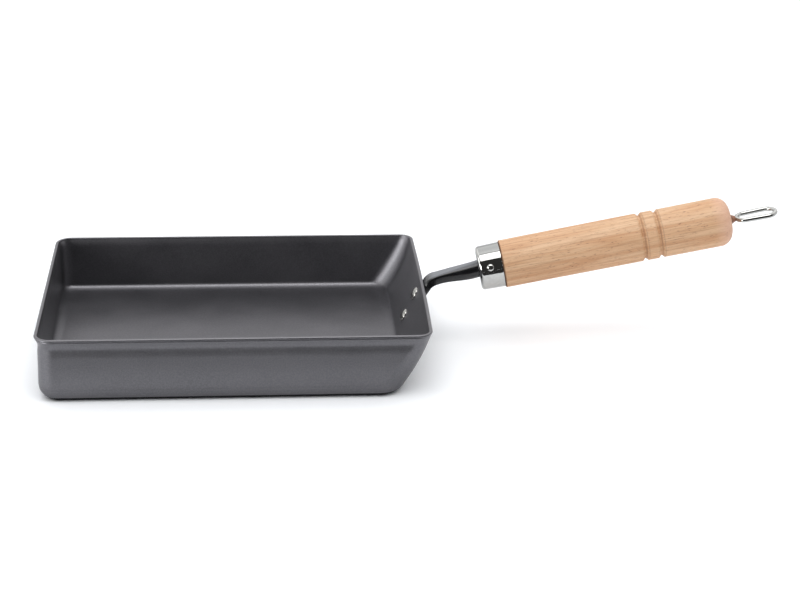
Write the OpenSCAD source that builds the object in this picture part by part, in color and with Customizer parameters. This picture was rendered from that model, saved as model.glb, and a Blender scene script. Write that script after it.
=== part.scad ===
// Tamagoyaki pan: a rectangular pan with thin walls, one of them leaning, on a thicker base, a pressed
// steel bracket riveted to that wall, and a turned beech handle with a chromed ferrule and hanging eye.
// Millimetres. X runs from the middle of the pan towards the handle, Y across it, Z up.
// The origin is under the middle of the rim, on the face that stands on the stove.

/* [Pan] */
// Length over the rim, along the handle
pan_len = 190.8; // [160:0.2:230]
// Width over the rim
pan_wid = 135.2; // [110:0.2:180]
// Height from the stove to the rim
pan_h = 33; // [30:0.5:45]
// Thickness of the walls
pan_sheet = 1.6; // [1.2:0.1:2.4]
// Thickness of the base, which also sets the inner radius between base and walls
pan_base = 4.1; // [2.4:0.1:5]
// Outer radius between the base and the walls
base_fillet = 7; // [6:0.5:10]
// Corner radius at the far end, seen from above
far_corner = 8; // [7:0.5:14]
// Corner radius of the leaning wall at the rim, seen from above
rim_corner = 7; // [5:0.5:14]
// Corner radius of the leaning wall at its foot, seen from above
low_corner = 11; // [10:0.5:20]
// Lean of the handle's wall from upright, in degrees
handle_lean = 24; // [15:0.5:28]
// Lean of the other three walls, in degrees
side_lean = 1; // [0.5:0.5:4]
// How far the handle's wall swells out between its corners, at the rim
wall_swell = 0.6; // [0.2:0.1:2]
// How far the handle's wall bulges at its corners, half-way up
wall_belly = 1.4; // [0:0.1:2]
// How far the rim of the other three walls flares out
rim_flare = 0.5; // [0:0.1:1]
// Height over which it does
flare_high = 4; // [2:0.5:8]
// Rounding of the rim's outer edge, no more than half the wall, with half as much inside
edge_round = 0.8; // [0.3:0.1:1]

/* [Handle line] */
// Rise of the handle from level, in degrees
handle_rise = 11.2; // [6:0.2:18]
// Ferrule's front face, outwards from the rim
handle_reach = 27.4; // [25:0.1:40]
// Handle's centre line above the rim, at the ferrule's front face
handle_lift = 6.8; // [5:0.2:12]

/* [Bracket] */
// Thickness of the bracket's sheet
tang_sheet = 1.8; // [1.2:0.1:2.2]
// Width of the foot on the wall
foot_wid = 16; // [15:0.5:24]
// Foot past the lower rivet
foot_end = 7; // [5:0.5:8]
// Width of the neck just past the bend
neck_wid = 7.8; // [7:0.1:10]
// Depth of the neck's sides just past the bend
neck_deep = 4.6; // [3.8:0.1:6]
// Outer radius of the bend over the rim
bend_r = 8.1; // [7:0.1:10]
// Start of the bend below the rim, along the wall
bend_drop = 0.4; // [0.2:0.1:3]
// Diameter that the neck is rolled up to at the ferrule
tube_d = 8.8; // [7:0.1:10]
// Length of the rolled tail, from the ferrule's front face
tail_len = 58; // [35:1:70]

/* [Rivets] */
// Rivet shank diameter
rivet_d = 4; // [3:0.1:5]
// Rivet head diameter, inside the pan
rivet_head_d = 7; // [6.5:0.1:7.5]
// Rivet head height, inside the pan
rivet_head_h = 1.5; // [0.8:0.1:2]
// Closed head diameter, on the bracket
rivet_tail_d = 6.2; // [5.8:0.1:6.6]
// Closed head height, on the bracket
rivet_tail_h = 1.3; // [0.8:0.1:2]
// Upper rivet below the rim, along the wall
rivet_drop = 8; // [7:0.5:10]
// Distance between the two rivets, along the wall
rivet_pitch = 13; // [10:0.5:14]

/* [Ferrule] */
// Ferrule length
ferrule_len = 12.4; // [10:0.2:20]
// Outer diameter at the front
ferrule_front_d = 22.6; // [20:0.2:23.4]
// Outer diameter at the wood
ferrule_back_d = 23.2; // [22:0.2:23.8]
// Thickness of the ferrule's sheet
ferrule_sheet = 0.8; // [0.5:0.1:1.2]
// Outer radius of the front edge
ferrule_round = 2; // [1.6:0.1:3]
// Pin head diameter
pin_head_d = 3.7; // [3:0.1:5]
// Pin head height
pin_head_h = 0.9; // [0.5:0.1:1.5]
// Pin shank diameter
pin_d = 2; // [1.5:0.1:2.5]
// Pin length below its head
pin_len = 9.5; // [8.5:0.1:11]
// Pin behind the ferrule's front face
pin_place = 6; // [4.5:0.1:8]
// Pin above level, on the side away from +Y, in degrees
pin_turn = 19; // [0:1:40]
// Diameter of the pressed dimple round the pin
dimple_d = 6.4; // [5:0.1:8]
// Depth of the dimple
dimple_deep = 0.4; // [0.2:0.05:0.5]

/* [Wooden handle] */
// Length of wood that shows
wood_len = 119; // [95:1:150]
// Diameter at the ferrule
wood_front_d = 24.4; // [24:0.2:28]
// Diameter at the far end
wood_back_d = 25; // [24:0.2:30]
// First groove from the ferrule end
groove_place = 72.4; // [60:0.2:80]
// Distance between the two grooves
groove_pitch = 8.3; // [6:0.1:12]
// Width of each groove, lips included
groove_wid = 3.4; // [2:0.1:4.5]
// Depth of each groove
groove_deep = 1.3; // [0.6:0.1:2]
// Rounding of the far end
wood_round = 6.5; // [4:0.5:8]
// Crown of the far end's face
wood_crown = 0.9; // [0.4:0.1:2]

/* [Hanging eye] */
// Wire diameter
eye_wire = 2.5; // [2:0.1:3]
// Outer width of the eye
eye_wid = 12.5; // [10.5:0.1:16]
// Outer width of the eye's end nearer the wood
eye_narrow = 11.5; // [8:0.1:12.2]
// Reach of the eye beyond the wood
eye_reach = 24; // [20:0.1:30]
// Gap from the wood to the middle of the wire's near end
eye_stand = 2.8; // [2.6:0.1:5]
// Collar diameter at the wood
collar_d = 4.8; // [4:0.1:6]
// Collar diameter where it runs into the wire
collar_top_d = 2.1; // [1.6:0.1:2.2]
// Screw shank diameter
screw_d = 3; // [2.5:0.1:4]
// Screw shank length in the wood
screw_len = 15; // [8:0.5:25]

/* [Clearances] */
// Bracket from the wall, and heads from what they seat on
seat_gap = 0.05; // [0.02:0.01:0.2]
// Round each shank in its hole
shank_gap = 0.05; // [0.02:0.01:0.15]
// Round the rolled tail in the wood, and at the ferrule's hole
tail_gap = 0.3; // [0.1:0.05:0.5]
// Between the ferrule and the wood's spigot and shoulder
ferrule_gap = 0.2; // [0.1:0.05:0.4]

/* [Hidden] */
fine = 0.01;
turn_steps = 96;
corner_steps = 8;
run_steps = 8;
fillet_steps = 7;
edge_steps = 4;
wall_levels = [0.15, 0.3, 0.45, 0.6, 0.75, 0.85, 0.92];
bend_steps = 9;
curl_steps = 3;
neck_steps = 14;
wire_sides = 16;
arc_rings = 16;
tightest_corner = 0.8;
channel_curl = 12;
tube_curl = 60;
tang_edge = 1.5;
inner_corner = 0.3;
tube_flat = 0.4;
foot_blunt = 3;
round_sweep = 84;
pan_half_len = pan_len / 2;
pan_half_wid = pan_wid / 2;
wall_reach = pan_half_len + wall_swell;
inner_fillet = base_fillet - pan_base;
outer_edge = min(edge_round, pan_sheet / 2);
inner_edge = outer_edge / 2;
lower_rivet_drop = rivet_drop + rivet_pitch;
foot_drop = lower_rivet_drop + foot_end;
foot_len = foot_drop - bend_drop;
tube_r = tube_d / 2;
tube_round = tube_r - tube_flat / 2;
ferrule_x = wall_reach + handle_reach;
ferrule_z = pan_h + handle_lift;
wood_start = ferrule_len + ferrule_gap;
wood_end = wood_start + wood_len;
spigot_start = ferrule_sheet + ferrule_gap;
bore_r = tube_r + tail_gap;
pin_seat_r = (ferrule_front_d + (ferrule_back_d - ferrule_front_d) * pin_place / ferrule_len) / 2
    - dimple_deep;
dimple_ball = (pow(dimple_d / 2, 2) + pow(dimple_deep, 2)) / (2 * dimple_deep);

function mix(a, b, t) = a + (b - a) * t;
function ease(t) = t * t * (3 - 2 * t);
function backwards(items) = [for (i = [len(items) - 1:-1:0]) items[i]];
function ramp(t, a, b) = ease(min(max((t - a) / (b - a), 0), 1));
function arc(cx, cy, r, from, to, steps) =
    [for (i = [0:steps]) let (a = mix(from, to, i / steps)) [cx + r * cos(a), cy + r * sin(a)]];

// Skins through rings that have the same number of points: two triangles for each step
// from ring j to ring k, one closed by its end rings and one that runs round into itself
function band(j, k, n) = [
    for (i = [0:n - 1]) [j * n + i, k * n + i, k * n + (i + 1) % n],
    for (i = [0:n - 1]) [j * n + i, k * n + (i + 1) % n, j * n + (i + 1) % n]
];
module loft(rings) {
    n = len(rings[0]);
    last = len(rings) - 1;
    polyhedron(
        points = [for (ring = rings) each ring],
        faces = [
            [for (i = [0:n - 1]) i],
            [for (i = [n - 1:-1:0]) last * n + i],
            for (j = [0:last - 1]) each band(j, j + 1, n)
        ]);
}
module loop_loft(rings) {
    n = len(rings[0]);
    polyhedron(
        points = [for (ring = rings) each ring],
        faces = [for (j = [0:len(rings) - 1]) each band(j, (j + 1) % len(rings), n)]);
}

// Pan: one wall in section. reach is its rim's distance from the middle, lean its slope,
// skin the depth of the surface below the outer one
function wall_x(reach, lean, skin, z) = reach - (pan_h - z) * tan(lean) - skin / cos(lean);

// The outer and the inner surface, each by the height of its flat floor and its fillet's radius
outside = [0, base_fillet];
inside = [pan_base, inner_fillet];

// u runs 0 to 1 round the fillet, and then rise 0 to 1 up the wall to its top
function side_z(lean, side, u, rise, top) =
    mix(side[0] + side[1] * (1 - cos((rise > 0 ? 1 : u) * (90 - lean))), top, rise);
function side_x(reach, lean, side, skin, u, rise, top) =
    rise > 0 ? wall_x(reach, lean, skin, side_z(lean, side, u, rise, top))
        : wall_x(reach, lean, skin + side[1], side[0] + side[1]) + side[1] * sin(u * (90 - lean));
function flared(z) = min(max(1 - (pan_h - outer_edge - z) / flare_high, 0), 1);
function corner_r(wall_r, side, skin, u) =
    max(wall_r - skin - side[1] * (1 - sin(90 * u)), tightest_corner);

// One level of the pan as a rounded rectangle, whose corners climb from the leaning wall to the others
function pan_ring(side, skin, u, rise, top) =
    let (
        near_z = side_z(handle_lean, side, u, rise, top),
        other_z = side_z(side_lean, side, u, rise, top),
        lip = rim_flare * (pow(flared(other_z), 2) - 1),
        near_x = side_x(pan_half_len, handle_lean, side, skin, u, rise, top),
        far_x = side_x(pan_half_len, side_lean, side, skin, u, rise, top) + lip,
        half_y = side_x(pan_half_wid, side_lean, side, skin, u, rise, top) + lip,
        belly = wall_belly * 4 * rise * (1 - rise),
        near_r = corner_r(mix(low_corner, rim_corner, rise), side, skin, u),
        far_r = corner_r(far_corner, side, skin, u),
        run = half_y - near_r
    )
    concat(
        [for (i = [1:run_steps - 1]) let (y = mix(-run, run, i / run_steps))
            [near_x + mix(wall_swell, belly, pow(y / run, 2)), y, near_z]],
        [for (i = [0:corner_steps]) let (t = i / corner_steps, a = 90 * t)
            [near_x - near_r + near_r * cos(a) + belly * pow(cos(a), 2), run + near_r * sin(a),
                mix(near_z, other_z, ease(t))]],
        [for (i = [0:corner_steps]) let (a = 90 + 90 * i / corner_steps)
            [far_r - far_x + far_r * cos(a), half_y - far_r + far_r * sin(a), other_z]],
        [for (i = [0:corner_steps]) let (a = 180 + 90 * i / corner_steps)
            [far_r - far_x + far_r * cos(a), far_r - half_y + far_r * sin(a), other_z]],
        [for (i = [0:corner_steps]) let (t = i / corner_steps, a = 270 + 90 * t)
            [near_x - near_r + near_r * cos(a) + belly * pow(cos(a), 2), near_r * sin(a) - run,
                mix(other_z, near_z, ease(t))]]
    );

// One surface from the floor up to the rim: its fillet, its wall and its half of the rounded edge
function pan_side(side, skin, edge, inwards) =
    [
        for (i = [0:fillet_steps]) pan_ring(side, skin, i / fillet_steps, 0, pan_h),
        for (rise = wall_levels) pan_ring(side, skin, 1, rise, pan_h - edge),
        for (i = [0:edge_steps]) let (a = 90 * i / edge_steps)
            pan_ring(side, skin + inwards * edge * (1 - cos(a)), 1, 1, pan_h - edge * (1 - sin(a)))
    ];

module pan_shell() {
    loft(concat(
        pan_side(outside, 0, outer_edge, 1),
        backwards(pan_side(inside, pan_sheet, inner_edge, -1))));
}

// Places children on the leaning wall's outer face, with their Z pointing out of the pan
module on_wall(drop) {
    z = pan_h - drop * cos(handle_lean);
    translate([wall_x(wall_reach, handle_lean, 0, z), 0, z])
        rotate([0, 90 + handle_lean, 0])
            children();
}

// Places children on the handle's centre line, with their Z pointing away from the pan
module on_handle(along) {
    translate([ferrule_x, 0, ferrule_z])
        rotate([0, 90 - handle_rise, 0])
            translate([0, 0, along])
                children();
}

// Places children at the pin, with their Z pointing out of the handle
module at_pin() {
    on_handle(pin_place)
        rotate([0, 0, -pin_turn])
            rotate([90, 0, 0])
                children();
}

module rivet_holes() {
    for (drop = [rivet_drop, lower_rivet_drop])
        on_wall(drop)
            cylinder(d = rivet_d + 2 * shank_gap, h = 4 * (pan_sheet + tang_sheet), center = true,
                $fn = turn_steps);
}

module pan_body() {
    color([0.36, 0.36, 0.38])
        difference() {
            pan_shell();
            rivet_holes();
        }
}

// Bracket: half of its section, from the free edge of a side to the middle of its back.
// half is its half width, side the depth where the free edge starts to curl in,
// corner and curl_r the outer radii there, and skin the depth below the outer surface
function tang_edge_pts(half, side, curl_r, curl, skin) =
    [for (i = [0:curl_steps]) let (a = curl * (1 - i / curl_steps))
        [half - curl_r + (curl_r - skin) * cos(a), side + (curl_r - skin) * sin(a)]];
function tang_corner_pts(half, corner, skin) =
    let (r = skin > 0 ? max(corner - skin, inner_corner) : corner)
    [for (i = [0:corner_steps / 2]) let (a = 90 * i / (corner_steps / 2))
        [half - skin - r + r * cos(a), skin + r - r * sin(a)]];
function tang_half(half, side, corner, curl_r, curl, skin) =
    concat(tang_edge_pts(half, side, curl_r, curl, skin), tang_corner_pts(half, corner, skin));
function flip_y(pts) = [for (i = [len(pts) - 1:-1:0]) [-pts[i][0], pts[i][1]]];
function tang_section(half, side, corner, curl_r, curl) =
    let (
        outer = tang_half(half, side, corner, curl_r, curl, 0),
        inner = tang_half(half, side, corner, curl_r, curl, tang_sheet)
    )
    concat(outer, flip_y(outer), backwards(concat(inner, flip_y(inner))));

// Stands a section up at a place on the bracket's back, square to the way it runs
function tang_ring(place, slope, section) =
    [for (p = section) [place[0] + p[1] * sin(slope), p[0], place[1] - p[1] * cos(slope)]];

// The foot runs up the wall, the bend turns it onto the handle's line
wall_slope = 90 - handle_lean;
bend_start = [
    wall_x(wall_reach, handle_lean, -seat_gap, pan_h - bend_drop * cos(handle_lean)),
    pan_h - bend_drop * cos(handle_lean)
];
bend_centre = bend_start + bend_r * [sin(wall_slope), -cos(wall_slope)];
bend_end = bend_centre + bend_r * [-sin(handle_rise), cos(handle_rise)];
neck_len = (ferrule_x - bend_end[0]) * cos(handle_rise) + (ferrule_z - bend_end[1]) * sin(handle_rise);
neck_lift = (ferrule_z - bend_end[1]) * cos(handle_rise) - (ferrule_x - bend_end[0]) * sin(handle_rise);
bend_len = bend_r * (wall_slope - handle_rise) * PI / 180;
curl_r_open = tang_sheet + 2 * inner_corner;
side_open = neck_deep - curl_r_open * sin(channel_curl);
foot_side = tang_sheet + inner_corner + fine;

// Half width and side depth of the open bracket, run millimetres from the foot's end
foot_half = foot_wid / 2;
rivet_half = max(rivet_tail_d / 2 + curl_r_open, neck_wid / 2);
function tip_half(run) = foot_half * sqrt(1 - pow(max(1 - (run + foot_blunt) / foot_half, 0), 2));
function waist_half(run) = mix(foot_half, rivet_half, ramp(run, foot_end + 1, foot_len - rivet_drop));
function open_half(run) =
    mix(min(tip_half(run), waist_half(run)), neck_wid / 2,
        ramp(run, foot_len - rivet_drop / 2, foot_len + 1.4 * bend_len));
function open_side(run) =
    mix(foot_side, side_open, ramp(run, foot_len - rivet_drop, foot_len + bend_len));
function open_section(run) =
    tang_section(open_half(run), open_side(run), tang_edge, curl_r_open, channel_curl);

// t runs 0 to 1 up the foot, round the bend and along the neck
function foot_ring(t) =
    tang_ring(bend_start - foot_len * (1 - t) * [cos(wall_slope), sin(wall_slope)], wall_slope,
        open_section(foot_len * t));
function bend_ring(t) =
    let (slope = mix(wall_slope, handle_rise, t))
    tang_ring(bend_centre + bend_r * [-sin(slope), cos(slope)], slope,
        open_section(foot_len + bend_len * t));
function neck_ring(t) =
    let (
        run = foot_len + bend_len + neck_len * t,
        lift = mix(0, neck_lift + tube_r, t),
        roll = ease(t)
    )
    tang_ring(
        bend_end + neck_len * t * [cos(handle_rise), sin(handle_rise)]
            + lift * [-sin(handle_rise), cos(handle_rise)],
        handle_rise,
        tang_section(mix(open_half(run), tube_r, roll), mix(side_open, tube_r, roll),
            mix(tang_edge, tube_round, roll), mix(curl_r_open, tube_r, roll),
            mix(channel_curl, tube_curl, roll)));
function tail_ring() =
    tang_ring(
        [ferrule_x, ferrule_z] + tail_len * [cos(handle_rise), sin(handle_rise)]
            + tube_r * [-sin(handle_rise), cos(handle_rise)],
        handle_rise,
        tang_section(tube_r, tube_r, tube_round, tube_r, tube_curl));

module handle_tang() {
    foot_stations = 18;
    color([0.09, 0.09, 0.10])
        difference() {
            loft([
                for (i = [0:foot_stations - 1]) foot_ring(i / foot_stations),
                for (i = [0:bend_steps]) bend_ring(i / bend_steps),
                for (i = [1:neck_steps]) neck_ring(i / neck_steps),
                tail_ring()
            ]);
            rivet_holes();
            at_pin()
                cylinder(d = pin_d + 2 * shank_gap, h = tube_d, $fn = turn_steps);
        }
}

// Half of a low dome in profile: radius r at its foot, height h, crown up or down from z
function dome(r, h, z) = [for (i = [0:8]) let (a = 90 * i / 8) [r * cos(a), z + h * sin(a)]];

module rivet() {
    seat_in = -pan_sheet - seat_gap;
    seat_out = seat_gap + tang_sheet + seat_gap;
    color([0.80, 0.80, 0.80])
        rotate_extrude($fn = turn_steps)
            polygon(concat(
                backwards(dome(rivet_head_d / 2, -rivet_head_h, seat_in)),
                [[rivet_d / 2, seat_in], [rivet_d / 2, seat_out]],
                dome(rivet_tail_d / 2, rivet_tail_h, seat_out)));
}

module upper_rivet() {
    on_wall(rivet_drop)
        rivet();
}

module lower_rivet() {
    on_wall(lower_rivet_drop)
        rivet();
}

module ferrule() {
    front_r = ferrule_front_d / 2;
    back_r = ferrule_back_d / 2;
    hole_r = tube_r + tail_gap;
    inner_round = ferrule_round - ferrule_sheet;
    color([0.82, 0.82, 0.84])
        difference() {
            on_handle(0)
                rotate_extrude($fn = turn_steps)
                    polygon(concat(
                        [[hole_r, 0]],
                        arc(front_r - ferrule_round, ferrule_round, ferrule_round, -90, 0, 8),
                        [[back_r, ferrule_len], [back_r - ferrule_sheet, ferrule_len]],
                        arc(front_r - ferrule_round, ferrule_round, inner_round, 0, -90, 6),
                        [[hole_r, ferrule_sheet]]));
            at_pin() {
                cylinder(d = pin_d + 2 * shank_gap, h = ferrule_back_d, $fn = turn_steps);
                translate([0, 0, pin_seat_r + dimple_ball])
                    sphere(r = dimple_ball, $fn = turn_steps);
            }
        }
}

module ferrule_pin() {
    seat = pin_seat_r + seat_gap;
    color([0.85, 0.85, 0.87])
        at_pin()
            rotate_extrude($fn = turn_steps)
                polygon(concat(
                    [[0, seat - pin_len], [pin_d / 2, seat - pin_len + pin_d / 2], [pin_d / 2, seat]],
                    dome(pin_head_d / 2, pin_head_h, seat)));
}

// Wood: radius of its plain outside at a distance along the handle, and one groove's profile
function wood_r(s) = mix(wood_front_d, wood_back_d, (s - wood_start) / wood_len) / 2;
function groove(middle) =
    [for (i = [0:12]) let (s = middle + groove_wid * (i / 12 - 0.5))
        [wood_r(s) - groove_deep * pow(sin(180 * i / 12), 2), s]];

module wooden_handle() {
    spigot_r = ferrule_front_d / 2 - ferrule_sheet - ferrule_gap;
    spigot_round = ferrule_round - ferrule_sheet;
    shoulder_round = 0.5;
    bore_end = tail_len + 2;
    cone_end = bore_end + bore_r;
    first_groove = wood_start + groove_place;
    round_z = wood_end - wood_crown - wood_round;
    color([0.85, 0.67, 0.50])
        difference() {
            on_handle(0)
                rotate_extrude($fn = turn_steps)
                    polygon(concat(
                        [[0, cone_end], [bore_r, bore_end], [bore_r, spigot_start]],
                        arc(spigot_r - spigot_round, spigot_start + spigot_round, spigot_round, -90, 0, 5),
                        [[spigot_r, wood_start]],
                        arc(wood_r(wood_start) - shoulder_round, wood_start + shoulder_round,
                            shoulder_round, -90, 0, 4),
                        groove(first_groove),
                        groove(first_groove + groove_pitch),
                        arc(wood_r(wood_end) - wood_round, round_z, wood_round, 0, round_sweep, 12),
                        [[0, wood_end]]));
            at_pin()
                cylinder(d = pin_d + 2 * shank_gap, h = ferrule_back_d, $fn = turn_steps);
            on_handle(wood_end - screw_len - shank_gap)
                cylinder(d = screw_d + 2 * shank_gap, h = screw_len + 2 * wood_crown, $fn = turn_steps);
        }
}

// Eye: rings of its wire round an arc about a point on the centre line
function wire_rings(along, r, from, sweep, steps) =
    [for (i = [0:steps]) let (a = from + sweep * i / steps)
        [for (k = [0:wire_sides - 1]) let (turn = 360 * k / wire_sides, reach = r + eye_wire / 2 * cos(turn))
            [-eye_wire / 2 * sin(turn), reach * cos(a), along + reach * sin(a)]]];

// A far arc and a smaller near arc joined by straight legs that touch both, on a screw
module hanging_eye() {
    far_r = (eye_wid - eye_wire) / 2;
    near_r = (eye_narrow - eye_wire) / 2;
    far_place = wood_end + eye_reach - eye_wid / 2;
    near_place = wood_end + eye_stand + near_r;
    splay = asin((far_r - near_r) / (far_place - near_place));
    color([0.78, 0.78, 0.80])
        on_handle(0) {
            loop_loft(concat(
                wire_rings(far_place, far_r, -splay, 180 + 2 * splay, arc_rings),
                wire_rings(near_place, near_r, 180 + splay, 180 - 2 * splay, arc_rings)));
            rotate_extrude($fn = turn_steps)
                polygon([
                    [0, wood_end - screw_len],
                    [screw_d / 2, wood_end - screw_len + screw_d],
                    [screw_d / 2, wood_end],
                    [collar_d / 2, wood_end + seat_gap],
                    [collar_top_d / 2, wood_end + eye_stand],
                    [0, wood_end + eye_stand]
                ]);
        }
}

pan_body();
handle_tang();
upper_rivet();
lower_rivet();
ferrule();
ferrule_pin();
wooden_handle();
hanging_eye();
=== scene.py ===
import math

import bpy
import numpy as np
from mathutils import Matrix, Vector


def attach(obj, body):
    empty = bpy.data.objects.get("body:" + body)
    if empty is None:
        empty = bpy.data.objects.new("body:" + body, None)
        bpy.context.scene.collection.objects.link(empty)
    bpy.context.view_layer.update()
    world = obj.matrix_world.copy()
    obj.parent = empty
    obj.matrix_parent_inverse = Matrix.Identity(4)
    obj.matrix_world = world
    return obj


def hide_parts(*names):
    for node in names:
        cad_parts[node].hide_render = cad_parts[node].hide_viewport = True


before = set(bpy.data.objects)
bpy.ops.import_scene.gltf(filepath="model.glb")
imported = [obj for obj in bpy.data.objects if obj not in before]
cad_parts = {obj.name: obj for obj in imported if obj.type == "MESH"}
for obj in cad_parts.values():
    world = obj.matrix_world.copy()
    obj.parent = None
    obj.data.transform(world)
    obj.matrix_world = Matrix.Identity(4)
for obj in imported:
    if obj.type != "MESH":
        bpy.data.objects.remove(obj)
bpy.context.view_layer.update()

scene = bpy.context.scene
scene.view_settings.view_transform = "Standard"

# Sizes are in millimetres and degrees, as on the drawing of the pan. Meshes are made in metres.
mm = 0.001
sharpAngle = 38  # edges that turn more than this stay sharp


def sind(degrees):
    return math.sin(math.radians(degrees))


def cosd(degrees):
    return math.cos(math.radians(degrees))


def tand(degrees):
    return math.tan(math.radians(degrees))


def mix(a, b, t):
    return a + (b - a) * t


def ease(t):
    return t * t * (3 - 2 * t)


def ramp(t, low, high):
    return ease(min(max((t - low) / (high - low), 0), 1))


# Meshes

def ringFaces(rings, count, closed=False):
    # quads from each ring to the next; rings run anticlockwise about the way they follow each other
    last = rings if closed else rings - 1
    return [
        (j * count + i, j * count + (i + 1) % count,
         (j + 1) % rings * count + (i + 1) % count, (j + 1) % rings * count + i)
        for j in range(last) for i in range(count)
    ]


def loft(rings):
    count = len(rings[0])
    faces = ringFaces(len(rings), count)
    faces.append(tuple(range(count - 1, -1, -1)))
    faces.append(tuple(range((len(rings) - 1) * count, len(rings) * count)))
    return np.concatenate([np.array(ring, float) for ring in rings]), faces


def moved(points, place):
    matrix = np.array(place)
    return np.array(points) @ matrix[:3, :3].T + matrix[:3, 3]


def spin(profile, place, turns, closed=False):
    # profile holds (radius, height) pairs; an open one starts and ends on the axis
    rings, ends = list(profile), []
    if not closed:
        ends = [rings[0], rings[-1]]
        rings = rings[1:-1]
    angles = np.arange(turns) * 2 * math.pi / turns
    points = [(r * math.cos(a), r * math.sin(a), z) for r, z in rings for a in angles]
    faces = ringFaces(len(rings), turns, closed)
    for end, first, turned in zip(ends, (0, (len(rings) - 1) * turns), (True, False)):
        tip = len(points)
        points.append((0, 0, end[1]))
        for i in range(turns):
            edge = (first + i, first + (i + 1) % turns)
            faces.append((edge[1], edge[0], tip) if turned else (edge[0], edge[1], tip))
    return moved(points, place), faces


def arc(cx, cy, r, start, end, steps):
    return [(cx + r * cosd(a), cy + r * sind(a)) for a in np.linspace(start, end, steps + 1)]


def dome(r, h, z, steps=12):
    return [(r * cosd(a), z + h * sind(a)) for a in np.linspace(0, 90, steps + 1)]


def makePiece(name, shape, material, node):
    points, faces = shape
    mesh = bpy.data.meshes.new(name)
    mesh.from_pydata((np.array(points) * mm).tolist(), [], faces)
    mesh.update()
    mesh.shade_smooth()
    mesh.set_sharp_from_angle(angle=math.radians(sharpAngle))
    mesh.materials.append(material)
    piece = bpy.data.objects.new(name, mesh)
    scene.collection.objects.link(piece)
    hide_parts(node)
    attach(piece, "root")


# Shader tools

class Wire:
    # a socket that can stand in a sum or a product
    def __init__(self, tree, socket):
        self.tree = tree
        self.socket = socket

    def work(self, operation, first, second):
        plain = all(not isinstance(v, Wire) or v.socket.type == "VALUE" for v in (first, second))
        kind = "ShaderNodeMath" if plain else "ShaderNodeVectorMath"
        return self.tree.node(kind, {"operation": operation}, {0: first, 1: second})

    def __add__(self, other):
        return self.work("ADD", self, other)

    def __radd__(self, other):
        return self.work("ADD", other, self)

    def __sub__(self, other):
        return self.work("SUBTRACT", self, other)

    def __rsub__(self, other):
        return self.work("SUBTRACT", other, self)

    def __mul__(self, other):
        return self.work("MULTIPLY", self, other)

    def __rmul__(self, other):
        return self.work("MULTIPLY", other, self)


class Tree:
    def __init__(self, owner):
        owner.use_nodes = True
        self.nodes = owner.node_tree.nodes
        self.links = owner.node_tree.links
        self.nodes.clear()

    def node(self, kind, settings=None, sockets=None, output=0):
        made = self.nodes.new(kind)
        for key, value in (settings or {}).items():
            setattr(made, key, value)
        for key, value in (sockets or {}).items():
            self.feed(made.inputs[key], value)
        return Wire(self, made.outputs[output])

    def feed(self, socket, value):
        if isinstance(value, Wire):
            self.links.new(value.socket, socket)
        elif hasattr(value, "__len__") and socket.type == "RGBA":
            socket.default_value = (*value[:3], 1)
        elif socket.type == "VECTOR" and not hasattr(value, "__len__"):
            socket.default_value = (value, value, value)
        else:
            socket.default_value = value

    def blend(self, factor, first, second):
        return self.node("ShaderNodeMix", {"data_type": "RGBA"}, {0: factor, 6: first, 7: second}, output=2)

    def noise(self, place, scale, detail, roughness, distortion=0.0):
        sockets = {"Vector": place, "Scale": scale, "Detail": detail, "Roughness": roughness,
                   "Distortion": distortion}
        return self.node("ShaderNodeTexNoise", None, sockets)

    def spread(self, value, low, high, toLow=0.0, toHigh=1.0):
        return self.node("ShaderNodeMapRange", {"clamp": True},
                         {0: value, 1: low, 2: high, 3: toLow, 4: toHigh})

    def bump(self, height, strength, distance):
        return self.node("ShaderNodeBump", None,
                         {"Height": height, "Strength": strength, "Distance": distance})

    def partZ(self, vector):
        return self.node("ShaderNodeSeparateXYZ", None, {0: vector}, "Z")

    def facingUp(self):
        # 1 where the surface faces up, 0 where it is upright, -1 where it faces down
        return self.partZ(self.node("ShaderNodeTexCoord", None, None, "Normal"))

    def millimetres(self, rotation=(0, 0, 0), origin=(0, 0, 0)):
        place = self.node("ShaderNodeTexCoord", None, None, "Object") * (1 / mm) - origin
        return self.node("ShaderNodeVectorRotate", {"rotation_type": "EULER_XYZ"},
                         {"Vector": place, "Rotation": rotation})

    def alongHandle(self):
        # millimetres from the ferrule's front, turned so that Z runs along the handle
        return self.millimetres((0, math.radians(rise - 90), 0), (ferruleX, 0, ferruleZ))

    def close(self, shader, kind="ShaderNodeOutputMaterial"):
        self.links.new(shader.socket, self.nodes.new(kind).inputs["Surface"])


def finish(name):
    material = bpy.data.materials.new(name)
    return material, Tree(material)


# Pan

pan = dict(
    length=190.8, width=135.2, height=33, sheet=1.6, base=4.1, handleLean=24, sideLean=1,
    swell=0.6, belly=1.4,  # the leaning wall stands out by these, in its middle and half way up its ends
    farCorner=8, rimCorner=7, lowCorner=11, leastCorner=0.8,
    fillet=7, outerTuck=3, innerFillet=2.9, innerRun=2.2,  # tuck tightens a fillet, run lengthens it
    flare=0.5, flareHeight=4, outerEdge=0.8, innerEdge=0.4,
    # the waist comes, eases by a share and goes between these depths below the rim
    waist=0.9, waistComes=(0.6, 5.6), waistEases=(5.8, 9.5), easeShare=0.35, waistGoes=(7, 27),
    groove=(0.26, 1.35, 0.28), crease=(0.07, 27.1, 0.45),  # depth, place below the rim, half width
    floorShares=(0.3, 0.6, 0.85, 0.97, 0.99), wallRows=((24.5, 6, 14), (5.5, 2.4, 9), (2.2, 0.9, 14)),
    cornerSteps=24, runSteps=24, filletSteps=40, edgeSteps=6,
)


def wallX(reach, lean, skin, z):
    return reach - (pan["height"] - z) * tand(lean) - skin / cosd(lean)


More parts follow.
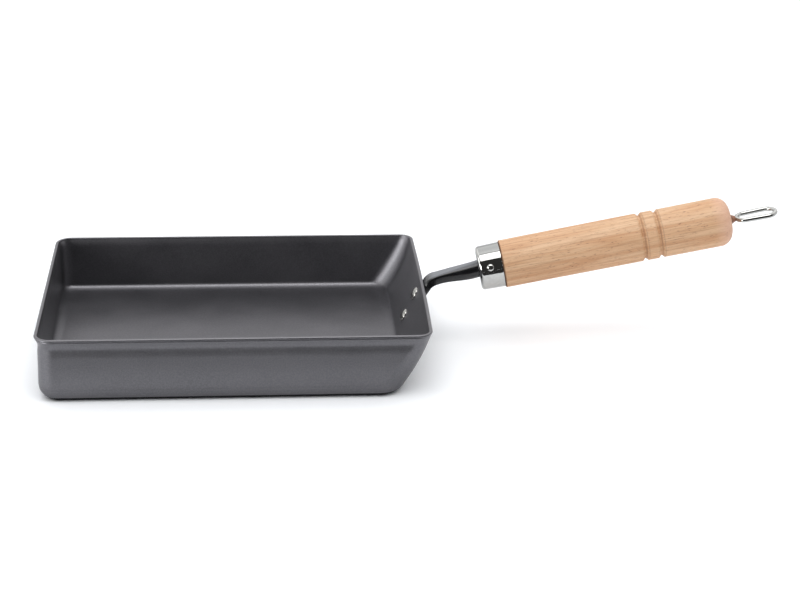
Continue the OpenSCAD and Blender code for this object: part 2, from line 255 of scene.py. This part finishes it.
def wallPress(below):
    # the upright walls' outside is drawn in under the rim: a fine groove, then a shallow waist,
    # and a faint crease where the wall turns under
    share = pan["easeShare"]
    left = 1 - share * ramp(below, *pan["waistEases"]) - (1 - share) * ramp(below, *pan["waistGoes"])
    press = pan["waist"] * ramp(below, *pan["waistComes"]) * left
    for deep, place, width in (pan["groove"], pan["crease"]):
        press += deep * math.exp(-((below - place) / width) ** 2)
    return press


def panRing(side, u, level, top, skin):
    # one level of the pan: a rounded rectangle whose corners climb from the leaning wall to the others;
    # u goes from 0 to 1 up the fillet, then level does up the wall
    ground, radius = side
    low = 1 - sind(90 * u)
    runOut = pan["innerRun"] * low if ground > 0 else 0
    tuck = pan["outerTuck"] if ground == 0 else 0

    def sideZ(lean):
        foot = ground + radius - radius * cosd((u if level == 0 else 1) * (90 - lean))
        return mix(foot, top, level)

    def sideX(reach, lean):
        if level > 0:
            return wallX(reach, lean, skin, sideZ(lean))
        return wallX(reach, lean, skin + radius, ground + radius) + radius * sind(u * (90 - lean)) - runOut

    def cornerRadius(wallRadius):
        return max(wallRadius - skin - (radius - tuck) * low, pan["leastCorner"])

    nearZ, otherZ = sideZ(pan["handleLean"]), sideZ(pan["sideLean"])
    flared = 1 - (pan["height"] - pan["outerEdge"] - otherZ) / pan["flareHeight"]
    lip = pan["flare"] * (min(max(flared, 0), 1) ** 2 - 1)
    press = wallPress(pan["height"] - otherZ) if ground == 0 else 0
    nearX = sideX(pan["length"] / 2, pan["handleLean"])
    farX = sideX(pan["length"] / 2, pan["sideLean"]) + lip - press
    halfY = sideX(pan["width"] / 2, pan["sideLean"]) + lip - press + tuck * low
    belly = pan["belly"] * 4 * level * (1 - level)
    near = cornerRadius(mix(pan["lowCorner"], pan["rimCorner"], level))
    far = cornerRadius(pan["farCorner"])
    straight = halfY - near
    steps = pan["cornerSteps"]
    ring = []
    for y in np.linspace(-straight, straight, pan["runSteps"] + 1)[1:-1]:
        ring.append((nearX + mix(pan["swell"], belly, (y / straight) ** 2), y, nearZ))
    for t in np.linspace(0, 1, steps + 1):
        x = nearX - near + near * cosd(90 * t) + belly * cosd(90 * t) ** 2
        ring.append((x, straight + near * sind(90 * t), mix(nearZ, otherZ, ease(t))))
    for a in np.linspace(90, 180, steps + 1):
        ring.append((far - farX + far * cosd(a), halfY - far + far * sind(a), otherZ))
    for a in np.linspace(180, 270, steps + 1):
        ring.append((far - farX + far * cosd(a), far - halfY + far * sind(a), otherZ))
    for t in np.linspace(0, 1, steps + 1):
        a = 270 + 90 * t
        x = nearX - near + near * cosd(a) + belly * cosd(a) ** 2
        ring.append((x, -straight + near * sind(a), mix(otherZ, nearZ, ease(t))))
    return np.array(ring)


def panShell():
    height, outerEdge = pan["height"], pan["outerEdge"]
    outside, inside = (0, pan["fillet"]), (pan["base"], pan["innerFillet"])
    filletTurns = np.linspace(0, 1, pan["filletSteps"] + 1)
    below = np.concatenate([np.linspace(*rows) for rows in pan["wallRows"]])
    levels = 1 - (below - outerEdge) / (height - outerEdge - pan["fillet"])
    edgeTurns = np.linspace(0, 90, pan["edgeSteps"] + 1)

    def skinRings(side, depth, edge):
        # from the middle of the base out to the wall's foot, up the wall and round its upper edge
        foot = panRing(side, 0, 0, height, depth)
        rings = [foot * (share, share, 1) for share in pan["floorShares"]]
        rings += [panRing(side, u, 0, height, depth) for u in filletTurns]
        rings += [panRing(side, 1, level, height - edge, depth) for level in levels]
        inwards = edge if side is outside else -edge
        return rings + [panRing(side, 1, 1, height - edge * (1 - sind(a)), depth + inwards * (1 - cosd(a)))
                        for a in edgeTurns]

    return loft(skinRings(outside, 0, outerEdge) + skinRings(inside, pan["sheet"], pan["innerEdge"])[::-1])


# Where the handle is

handleLine = dict(rise=11.2, reach=27.4, lift=6.8)  # reach and lift go from the rim to the ferrule's front
rise = handleLine["rise"]
wallReach = pan["length"] / 2 + pan["swell"]
ferruleX = wallReach + handleLine["reach"]
ferruleZ = pan["height"] + handleLine["lift"]
onHandle = Matrix.Translation((ferruleX, 0, ferruleZ)) @ Matrix.Rotation(math.radians(90 - rise), 4, "Y")


def onWall(drop):
    z = pan["height"] - drop * cosd(pan["handleLean"])
    x = wallX(wallReach, pan["handleLean"], 0, z)
    return Matrix.Translation((x, 0, z)) @ Matrix.Rotation(math.radians(90 + pan["handleLean"]), 4, "Y")


# Bracket and rivets

bracket = dict(
    sheet=1.8, footWidth=16, footEnd=7, footBlunt=3, neckWidth=7.8, neckDeep=4.6, neckTaper=1.4,
    bendRadius=8.1, bendDrop=0.4, tube=8.8, tubeCurl=60, tubeFlat=0.4, tail=58, channelCurl=12,
    edge=1.5, innerCorner=0.3, leastSide=0.01, seat=0.05, clear=0.3,
    footRings=40, bendRings=24, neckRings=40, curlSteps=6, cornerSteps=8,
)
rivets = dict(shank=4, head=7, headHeight=1.5, closed=6.2, closedHeight=1.3, drop=8, pitch=13, turns=64)


def tangSection(half, side, corner, curlRadius, curl):
    # the sheet's section, open below: up one side, over the top and down the other
    def halfLine(skin):
        points = [(half - curlRadius + (curlRadius - skin) * cosd(a), side + (curlRadius - skin) * sind(a))
                  for a in np.linspace(curl, 0, bracket["curlSteps"] + 1)]
        r = max(corner - skin, bracket["innerCorner"]) if skin > 0 else corner
        return points + [(half - skin - r + r * cosd(a), skin + r - r * sind(a))
                         for a in np.linspace(0, 90, bracket["cornerSteps"] + 1)]

    outer, inner = halfLine(0), halfLine(bracket["sheet"])
    outer += [(-x, y) for x, y in outer[::-1]]
    inner += [(-x, y) for x, y in inner[::-1]]
    return outer + inner[::-1]


def tangRing(place, slope, section):
    return [(place[0] + y * sind(slope), x, place[1] - y * cosd(slope)) for x, y in section]


def bracketShell():
    # a flat foot on the wall, a bend over the rim, a channel, and a rolled tube with its tail in the wood
    sheet, neck, tube = bracket["sheet"], bracket["neckWidth"], bracket["tube"] / 2
    footHalf, bend, drop = bracket["footWidth"] / 2, bracket["bendRadius"], rivets["drop"]
    wallSlope = 90 - pan["handleLean"]
    tubeRound = tube - bracket["tubeFlat"] / 2
    startZ = pan["height"] - bracket["bendDrop"] * cosd(pan["handleLean"])
    start = np.array([wallX(wallReach, pan["handleLean"], -bracket["seat"], startZ), startZ])
    centre = start + bend * np.array([sind(wallSlope), -cosd(wallSlope)])
    end = centre + bend * np.array([-sind(rise), cosd(rise)])
    along, across = np.array([cosd(rise), sind(rise)]), np.array([-sind(rise), cosd(rise)])
    toFerrule = np.array([ferruleX, ferruleZ]) - end
    neckLength, neckLift = toFerrule @ along, toFerrule @ across
    bendLength = bend * math.radians(wallSlope - rise)
    footLength = drop + rivets["pitch"] + bracket["footEnd"] - bracket["bendDrop"]
    openCurl = sheet + 2 * bracket["innerCorner"]
    openSide = bracket["neckDeep"] - openCurl * sind(bracket["channelCurl"])
    footSide = sheet + bracket["innerCorner"] + bracket["leastSide"]
    rivetHalf = max(rivets["closed"] / 2 + openCurl, neck / 2)

    def openHalf(run):
        tip = footHalf * math.sqrt(1 - max(1 - (run + bracket["footBlunt"]) / footHalf, 0) ** 2)
        waist = mix(footHalf, rivetHalf, ramp(run, bracket["footEnd"] + 1, footLength - drop))
        taperEnd = footLength + bracket["neckTaper"] * bendLength
        return mix(min(tip, waist), neck / 2, ramp(run, footLength - drop / 2, taperEnd))

    def openSection(run):
        side = mix(footSide, openSide, ramp(run, footLength - drop, footLength + bendLength))
        return tangSection(openHalf(run), side, bracket["edge"], openCurl, bracket["channelCurl"])

    rings = []
    for run in np.linspace(0, footLength, bracket["footRings"] + 1)[:-1]:
        place = start - (footLength - run) * np.array([cosd(wallSlope), sind(wallSlope)])
        rings.append(tangRing(place, wallSlope, openSection(run)))
    for t in np.linspace(0, 1, bracket["bendRings"] + 1):
        slope = mix(wallSlope, rise, t)
        place = centre + bend * np.array([-sind(slope), cosd(slope)])
        rings.append(tangRing(place, slope, openSection(footLength + bendLength * t)))
    for t in np.linspace(0, 1, bracket["neckRings"] + 1)[1:]:
        roll = ease(t)
        half = openHalf(footLength + bendLength + neckLength * t)
        place = end + neckLength * t * along + mix(0, neckLift + tube, t) * across
        rings.append(tangRing(place, rise, tangSection(
            mix(half, tube, roll), mix(openSide, tube, roll), mix(bracket["edge"], tubeRound, roll),
            mix(openCurl, tube, roll), mix(bracket["channelCurl"], bracket["tubeCurl"], roll))))
    tailPlace = np.array([ferruleX, ferruleZ]) + bracket["tail"] * along + tube * across
    rings.append(tangRing(tailPlace, rise, tangSection(tube, tube, tubeRound, tube, bracket["tubeCurl"])))
    return loft(rings)


def rivetShape(drop):
    seatIn = -pan["sheet"] - bracket["seat"]
    seatOut = bracket["sheet"] + 2 * bracket["seat"]
    profile = dome(rivets["head"] / 2, -rivets["headHeight"], seatIn)[::-1]
    profile += [(rivets["shank"] / 2, seatIn), (rivets["shank"] / 2, seatOut)]
    profile += dome(rivets["closed"] / 2, rivets["closedHeight"], seatOut)
    return spin(profile, onWall(drop), rivets["turns"])


# Ferrule and its pin

cap = dict(length=12.4, front=22.6, back=23.2, sheet=0.8, round=2, edge=0.2, dimple=6.4, dimpleDeep=0.4,
           sideSteps=48, roundSteps=16, turns=384)
pin = dict(head=3.7, headHeight=0.9, shank=2, length=9.5, place=6, turn=19, turns=64)
tubeHole = bracket["tube"] / 2 + bracket["clear"]
atPin = (onHandle @ Matrix.Translation((0, 0, pin["place"]))
         @ Matrix.Rotation(math.radians(-pin["turn"]), 4, "Z") @ Matrix.Rotation(math.radians(90), 4, "X"))


def ferruleShape():
    front, back, length, rounding = cap["front"] / 2, cap["back"] / 2, cap["length"], cap["round"]
    sideShares = np.linspace(0, 1, cap["sideSteps"] + 1)[1:-1]
    profile = [(tubeHole, 0)] + arc(front - rounding, rounding, rounding, -90, 0, cap["roundSteps"])
    profile += [(mix(front, back, t), mix(rounding, length, t)) for t in sideShares]
    profile += [(back, length - cap["edge"]), (back - cap["edge"], length), (back - cap["sheet"], length)]
    profile += arc(front - rounding, rounding, rounding - cap["sheet"], 0, -90, cap["roundSteps"] // 2)
    profile += [(tubeHole, cap["sheet"])]
    points, faces = spin(profile, onHandle, cap["turns"], closed=True)
    # the sheet is pressed in round the pin
    matrix = np.array(atPin)
    local = (points - matrix[:3, 3]) @ matrix[:3, :3]
    away = np.hypot(local[:, 0], local[:, 1]) / (cap["dimple"] / 2)
    press = np.where((away < 1) & (local[:, 2] > front / 2), cap["dimpleDeep"] * (1 - away ** 2) ** 2, 0)
    return points - press[:, None] * matrix[:3, 2], faces


def pinShape():
    radius = mix(cap["front"], cap["back"], pin["place"] / cap["length"]) / 2
    pinSeat = radius - cap["dimpleDeep"] + bracket["seat"]
    tip, shank = pinSeat - pin["length"], pin["shank"] / 2
    profile = [(0, tip), (shank, tip + shank), (shank, pinSeat)]
    profile += dome(pin["head"] / 2, pin["headHeight"], pinSeat)
    return spin(profile, atPin, pin["turns"])


# Grip

grip = dict(
    length=119, front=24.4, back=25, groovePlace=72.4, groovePitch=8.3, grooveWidth=3.4, grooveDeep=1.3,
    round=6.5, roundTurn=84, crown=0.9, shoulder=0.5, gap=0.2, slack=0.01, chamfer=1, boreSpare=2,
    grooveSteps=24, turns=160,
)
woodStart = cap["length"] + grip["gap"]
woodEnd = woodStart + grip["length"]
grooveMiddles = (woodStart + grip["groovePlace"], woodStart + grip["groovePlace"] + grip["groovePitch"])


def woodRadius(s):
    return mix(grip["front"], grip["back"], (s - woodStart) / grip["length"]) / 2 - grip["slack"]


def groove(middle):
    return [(woodRadius(middle + grip["grooveWidth"] * t) - grip["grooveDeep"] * cosd(180 * t) ** 2,
             middle + grip["grooveWidth"] * t) for t in np.linspace(-0.5, 0.5, grip["grooveSteps"] + 1)]


def gripShape():
    # from the bore out over the spigot in the ferrule, along the wood and into the screw's hole
    spigot, spigotStart = cap["front"] / 2 - cap["sheet"] - grip["gap"], cap["sheet"] + grip["gap"]
    shoulder, rounding, chamfer = grip["shoulder"], grip["round"], grip["chamfer"]
    boreEnd = bracket["tail"] + grip["boreSpare"]
    profile = [(0, boreEnd + tubeHole), (tubeHole, boreEnd), (tubeHole, spigotStart)]
    profile += [(spigot - chamfer, spigotStart), (spigot, spigotStart + chamfer), (spigot, woodStart)]
    profile += arc(woodRadius(woodStart) - shoulder, woodStart + shoulder, shoulder, -90, 0, 8)
    for middle in grooveMiddles:
        profile += groove(middle)
    profile += arc(woodRadius(woodEnd) - rounding, woodEnd - grip["crown"] - rounding, rounding,
                   0, grip["roundTurn"], 24)
    hole, holeEnd = eye["screw"] / 2 + eye["seat"], woodEnd - eye["screwLength"]
    profile += [(hole, woodEnd), (hole, holeEnd), (0, holeEnd)]
    return spin(profile, onHandle, grip["turns"])


# Hanging eye

eye = dict(
    wire=2.5, width=12.5, narrow=11.5, reach=24, stand=2.8, collar=4.8, collarTop=2.1, screw=3,
    screwLength=15, seat=0.05, slack=0.03, wireTurns=32, bendSteps=48,
)


def eyeShape():
    # a closed loop of wire, wider at its far end, on a collar and a screw
    wire = eye["wire"] / 2 - eye["slack"]
    farRadius, nearRadius = (eye["width"] - eye["wire"]) / 2, (eye["narrow"] - eye["wire"]) / 2
    farPlace = woodEnd + eye["reach"] - eye["width"] / 2
    nearPlace = woodEnd + eye["stand"] + nearRadius
    splay = math.degrees(math.asin((farRadius - nearRadius) / (farPlace - nearPlace)))
    turns = np.arange(eye["wireTurns"]) * 360 / eye["wireTurns"]
    points = []
    for place, r, start, sweep in ((farPlace, farRadius, -splay, 180 + 2 * splay),
                                   (nearPlace, nearRadius, 180 + splay, 180 - 2 * splay)):
        for a in np.linspace(start, start + sweep, eye["bendSteps"] + 1):
            for turn in turns:
                reach = r + wire * cosd(turn)
                points.append((-wire * sind(turn), reach * cosd(a), place + reach * sind(a)))
    loopFaces = ringFaces(len(points) // len(turns), len(turns), closed=True)
    screw, collarEnd, tip = eye["screw"] / 2, woodEnd + eye["stand"], woodEnd - eye["screwLength"]
    profile = [(0, tip), (screw, tip + eye["screw"]), (screw, woodEnd)]
    profile += [(eye["collar"] / 2, woodEnd + eye["seat"]), (eye["collarTop"] / 2, collarEnd), (0, collarEnd)]
    screwPoints, screwFaces = spin(profile, onHandle, turns=48)
    faces = loopFaces + [tuple(i + len(points) for i in face) for face in screwFaces]
    return np.concatenate([moved(points, onHandle), screwPoints]), faces


# Finishes

def panSteelFinish():
    look = dict(
        colour=(0.126, 0.124, 0.133), paler=(0.142, 0.139, 0.149), speck=(0.21, 0.207, 0.22), speckShare=0.42,
        rough=0.41, roughSpread=0.06, metallic=0.94, grain=1.4, cloud=0.035, wave=0.03,
        # shade and edge are painted shade: darker lower walls outside and a nearly black lower edge
        shade=0.12, shadeHeights=(25, 10), edge=(0.002, 0.002, 0.003), shadedEdgeHeights=(2.1, 1.3), edgeRough=0.55,
    )
    material, tree = finish("panSteel")
    place = tree.millimetres()
    cloud = tree.noise(place, look["cloud"], 4, 0.6)
    grain = tree.noise(place, look["grain"], 3, 0.7)
    colour = tree.blend(tree.spread(cloud, 0.35, 0.7), look["colour"], look["paler"])
    colour = tree.blend(tree.spread(grain, 0.38, 0.68, 0, look["speckShare"]), colour, look["speck"])
    # outside, the walls are painted darker lower down, a painted shade, and the lower edge is painted nearly
    # black, a painted contact shadow
    height = tree.partZ(place)
    outside = tree.spread(tree.facingUp(), 0.02, -0.05)
    shade = outside * tree.spread(height, *look["shadeHeights"], 0, look["shade"])
    foot = tree.spread(height, *look["shadedEdgeHeights"])
    colour = tree.blend(foot, tree.blend(shade, colour, (0, 0, 0)), look["edge"])
    roughness = look["rough"] + look["roughSpread"] * (tree.spread(cloud, 0.3, 0.7) - 0.5)
    wave = tree.node("ShaderNodeBump", None, {
        "Height": tree.noise(place, look["wave"], 1, 0.4), "Strength": 0.08, "Distance": 0.002,
        "Normal": tree.bump(grain, 0.25, 0.0001)})
    shader = tree.node("ShaderNodeBsdfPrincipled", None, {
        "Base Color": colour, "Roughness": roughness + look["edgeRough"] * foot,
        "Metallic": look["metallic"], "Normal": wave})
    tree.close(shader)
    return material


def blackSteelFinish():
    # top is a painted sheen colour for the upper side
    look = dict(colour=(0.003, 0.003, 0.0035), patch=(0.01, 0.01, 0.012), top=(0.15, 0.155, 0.168), rough=0.2,
                patchRough=0.08, topRough=0.12)
    material, tree = finish("blackSteel")
    place = tree.millimetres()
    patch = tree.noise(place, 0.25, 3, 0.6)
    colour = tree.blend(tree.spread(patch, 0.35, 0.75, 0, 0.5), look["colour"], look["patch"])
    roughness = look["rough"] + look["patchRough"] * tree.spread(patch, 0.35, 0.75)
    # the upper side is painted greyer, a painted sheen from the light above
    paintedSheenMask = tree.spread(tree.facingUp(), 0.7, 0.95)
    shader = tree.node("ShaderNodeBsdfPrincipled", None, {
        "Base Color": tree.blend(paintedSheenMask, colour, look["top"]), "IOR": 1.5,
        "Roughness": roughness + look["topRough"] * paintedSheenMask,
        "Normal": tree.bump(tree.noise(place, 1.1, 3, 0.5), 0.06, 0.0002)})
    tree.close(shader)
    return material


def rivetSteelFinish():
    look = dict(colour=(0.34, 0.335, 0.32), darker=(0.26, 0.255, 0.245), rough=0.14, markRough=0.1)
    material, tree = finish("rivetSteel")
    mark = tree.noise(tree.millimetres(), 1.5, 3, 0.6)
    colour = tree.blend(tree.spread(mark, 0.3, 0.75), look["colour"], look["darker"])
    shader = tree.node("ShaderNodeBsdfPrincipled", None, {
        "Base Color": colour, "Roughness": look["rough"] + look["markRough"] * mark, "Metallic": 1.0,
        "Normal": tree.bump(mark, 0.03, 0.0002)})
    tree.close(shader)
    return material


def chromedSteelFinish():
    # top is a painted reflection colour for the upper side
    look = dict(colour=(0.48, 0.48, 0.465), haze=(0.42, 0.42, 0.41), top=(0.31, 0.315, 0.31),
                rough=0.05, hazeRough=0.05)
    material, tree = finish("chromedSteel")
    place = tree.millimetres()
    haze = tree.noise(place, 0.6, 3, 0.6)
    colour = tree.blend(tree.spread(haze, 0.35, 0.7), look["colour"], look["haze"])
    # the upper side is painted darker, a painted reflection of the dimmer space above
    colour = tree.blend(tree.spread(tree.facingUp(), 0.78, 0.93), colour, look["top"])
    shader = tree.node("ShaderNodeBsdfPrincipled", None, {
        "Base Color": colour, "Metallic": 1.0,
        "Roughness": look["rough"] + look["hazeRough"] * tree.spread(haze, 0.4, 0.8),
        "Normal": tree.bump(tree.noise(place, 0.35, 2, 0.5), 0.05, 0.0004)})
    tree.close(shader)
    return material


def eyeSteelFinish():
    # the wire is bright, and the collar that sits on the wood is painted brown, a painted reflection of the
    # wood
    look = dict(colour=(0.43, 0.43, 0.415), paintedWoodReflection=(0.20, 0.085, 0.045), palerWoodReflection=(0.34, 0.16, 0.09),
                rough=0.5, smoother=0.43, fade=(0.9, 0.5))
    material, tree = finish("eyeSteel")
    place = tree.alongHandle()
    top = woodEnd + eye["stand"]
    wire = tree.spread(tree.partZ(place), top - look["fade"][0], top - look["fade"][1])
    paintedWoodReflection = tree.blend(tree.noise(place, 1.2, 3, 0.6), look["paintedWoodReflection"], look["palerWoodReflection"])
    shader = tree.node("ShaderNodeBsdfPrincipled", None, {
        "Base Color": tree.blend(wire, paintedWoodReflection, look["colour"]), "Metallic": wire,
        "Roughness": look["rough"] - look["smoother"] * wire,
        "Normal": tree.bump(tree.noise(place, 0.5, 2, 0.5), 0.05, 0.0003)})
    tree.close(shader)
    return material


def beechFinish():
    look = dict(
        pale=(0.68, 0.44, 0.262), warm=(0.56, 0.295, 0.145), line=(0.38, 0.185, 0.085),
        # the darkest colour here is painted shade, used at the ferrule joint and in the grooves
        fleck=(0.25, 0.11, 0.052), paintedShade=(0.22, 0.10, 0.045), end=(0.70, 0.42, 0.31), rough=0.5, lineRough=0.15,
        endFade=(11, 4), endShare=0.6, startFade=(0.25, 0.65), startShare=0.9,
        # each groove's dark lines of painted shade: place across it, half width, strength
        grooveLines=((-grip["grooveWidth"] / 2, 0.3, 0.15), (0.4, 0.6, 0.5),
                     (grip["grooveWidth"] / 2, 0.4, 0.42)),
    )
    material, tree = finish("beech")
    place = tree.alongHandle()
    bands = tree.noise(place * (0.30, 0.20, 0.016), 1, 4, 0.6, 0.6)
    lines = tree.noise(place * (1.9, 1.3, 0.04), 1, 5, 0.7, 0.2)
    pores = tree.noise(place * (2.4, 2.0, 0.36), 1, 2, 0.5)
    colour = tree.blend(tree.spread(bands, 0.38, 0.64), look["pale"], look["warm"])
    colour = tree.blend(tree.spread(lines, 0.48, 0.68, 0, 0.7), colour, look["line"])
    flecks = tree.spread(pores, 0.62, 0.72) * tree.spread(bands, 0.3, 0.6, 0.5, 1.0)
    colour = tree.blend(flecks, colour, look["fleck"])
    along = tree.partZ(place)
    endFade = [woodEnd - away for away in look["endFade"]]
    colour = tree.blend(tree.spread(along, *endFade, 0, look["endShare"]), colour, look["end"])
    # painted shadow where the wood meets the ferrule
    startFade = [woodStart + away for away in look["startFade"]]
    colour = tree.blend(tree.spread(along, *startFade, look["startShare"], 0), colour, look["paintedShade"])
    # painted shade along the groove edges
    for middle in grooveMiddles:
        for shift, width, share in look["grooveLines"]:
            away = tree.node("ShaderNodeMath", {"operation": "ABSOLUTE"}, {0: along - (middle + shift)})
            colour = tree.blend(tree.spread(away, 0, width, share, 0), colour, look["paintedShade"])
    height = lines * 0.6 - flecks * 0.8
    shader = tree.node("ShaderNodeBsdfPrincipled", None, {
        "Base Color": colour, "Roughness": look["rough"] + look["lineRough"] * lines, "IOR": 1.45,
        "Normal": tree.bump(height, 0.25, 0.0002)})
    tree.close(shader)
    return material


print("scene: finishes")
panSteel = panSteelFinish()
blackSteel = blackSteelFinish()
rivetSteel = rivetSteelFinish()
chromedSteel = chromedSteelFinish()
eyeSteel = eyeSteelFinish()
beech = beechFinish()

print("scene: pan and bracket")
makePiece("panShell", panShell(), panSteel, "pan_body")
makePiece("bracketSheet", bracketShell(), blackSteel, "handle_tang")
makePiece("rivetUpper", rivetShape(rivets["drop"]), rivetSteel, "upper_rivet")
makePiece("rivetLower", rivetShape(rivets["drop"] + rivets["pitch"]), rivetSteel, "lower_rivet")

print("scene: handle")
makePiece("ferruleCap", ferruleShape(), chromedSteel, "ferrule")
makePiece("ferruleNail", pinShape(), chromedSteel, "ferrule_pin")
makePiece("beechGrip", gripShape(), beech, "wooden_handle")
makePiece("screwEye", eyeShape(), eyeSteel, "hanging_eye")


# Studio, in metres

studio = dict(
    floor=(1, 1, 1), card=(0.05, 0.049, 0.048), air=(0.93, 0.96, 1.0), airStrength=1.36, backdrop=(1, 1, 1),
)


def aimed(place, aim, axis):
    way = Vector(aim) - Vector(place)
    return Matrix.Translation(place) @ way.to_track_quat(axis, "Y").to_matrix().to_4x4()


def flatPanel(name, width, depth, place, aim, material):
    mesh = bpy.data.meshes.new(name)
    w, d = width / 2, depth / 2
    mesh.from_pydata([(-w, -d, 0), (w, -d, 0), (w, d, 0), (-w, d, 0)], [], [(0, 1, 2, 3)])
    mesh.materials.append(material)
    panel = bpy.data.objects.new(name, mesh)
    scene.collection.objects.link(panel)
    panel.matrix_world = aimed(place, aim, "Z")
    return panel


def floorFinish():
    # plain white, so that the object's shadow stays on it
    material, tree = finish("floorPaper")
    tree.close(tree.node("ShaderNodeBsdfDiffuse", None, {"Color": studio["floor"]}))
    return material


def darkFinish():
    material, tree = finish("darkCard")
    tree.close(tree.node("ShaderNodeEmission", None, {"Color": studio["card"], "Strength": 1.0}))
    return material


def darkCard(name, width, depth, place, aim, material):
    # only metal and gloss show it
    card = flatPanel(name, width, depth, place, aim, material)
    card.visible_camera = card.visible_diffuse = card.visible_shadow = False


def softbox(name, width, depth, place, aim, radiance, diffuse=True):
    light = bpy.data.lights.new(name, "AREA")
    light.shape = "RECTANGLE"
    light.size, light.size_y = width, depth
    light.energy = radiance * math.pi * width * depth
    lamp = bpy.data.objects.new(name, light)
    lamp.visible_camera = False
    lamp.visible_diffuse = diffuse
    scene.collection.objects.link(lamp)
    lamp.matrix_world = aimed(place, aim, "-Z")


print("scene: studio")
flatPanel("floorSheet", 30, 30, (0, 0, -0.0002), (0, 0, 1), floorFinish())
dark = darkFinish()
darkCard("cameraSideCard", 4.4, 1.34, (0.1, -1.05, 0.6), (0.1, 0.15, 0), dark)
# painted shade: a dark sheet on the white floor in front, seen only in reflections, darkens what the front
# wall reflects
darkCard("paintedShadeApron", 4.4, 1.1, (0.1, -0.67, 0.0002), (0.1, -0.67, 1), dark)
softbox("keyBox", 0.9, 0.6, (0.1, -0.27, 0.97), (0.1, 0, 0), 2.0)
softbox("keyShine", 0.9, 0.4, (0.1, -0.2, 0.97), (0.1, 0, 0), 1.6, diffuse=False)
softbox("backBox", 2.6, 1.4, (0.1, 0.8, 1.1), (0.1, 0, 0), 0.55)
softbox("leftBox", 0.6, 0.36, (-0.9, -0.1, 0.5), (0.1, 0, 0.03), 2.2)
softbox("leftShine", 0.6, 0.4, (-0.75, -0.68, 0.24), (0.1, 0, 0.03), 9, diffuse=False)

world = bpy.data.worlds.new("studioAir")
scene.world = world
sky = Tree(world)
rays = [sky.node("ShaderNodeLightPath", None, None, ray)
        for ray in ("Is Camera Ray", "Is Glossy Ray", "Is Transmission Ray")]
seen = sky.node("ShaderNodeMath", {"operation": "MINIMUM"}, {0: rays[0] + rays[1] + rays[2], 1: 1.0})
height = sky.partZ(sky.node("ShaderNodeTexCoord", None, None, "Generated"))
ambient = sky.node("ShaderNodeBackground", None, {
    "Color": studio["air"], "Strength": sky.spread(height, 0, 1, 0, studio["airStrength"])})
backdrop = sky.node("ShaderNodeBackground", None, {"Color": studio["backdrop"], "Strength": 1.0})
sky.close(sky.node("ShaderNodeMixShader", None, {0: seen, 1: ambient, 2: backdrop}), "ShaderNodeOutputWorld")


# Camera, with its angles in radians

view = dict(focalPixels=1961.118, imageWidth=800, sensor=36, yaw=-0.080236, pitch=0.403340, roll=0.0190316,
            place=(0.00991, -0.920555, 0.417024))
yaw, pitch, roll = view["yaw"], view["pitch"], view["roll"]
forward = Vector((-math.sin(yaw) * math.cos(pitch), math.cos(yaw) * math.cos(pitch), -math.sin(pitch)))
level = Vector((math.cos(yaw), math.sin(yaw), 0))
upright = level.cross(forward)
right = level * math.cos(roll) + upright * math.sin(roll)
up = upright * math.cos(roll) - level * math.sin(roll)
lens = bpy.data.cameras.new("mainView")
lens.sensor_width = view["sensor"]
lens.sensor_fit = "HORIZONTAL"
lens.lens = view["focalPixels"] / view["imageWidth"] * view["sensor"]
lens.clip_start, lens.clip_end = 0.01, 100
camera = bpy.data.objects.new("mainView", lens)
scene.collection.objects.link(camera)
camera.matrix_world = Matrix.Translation(view["place"]) @ Matrix((right, up, -forward)).transposed().to_4x4()
scene.camera = camera

print("scene: done")
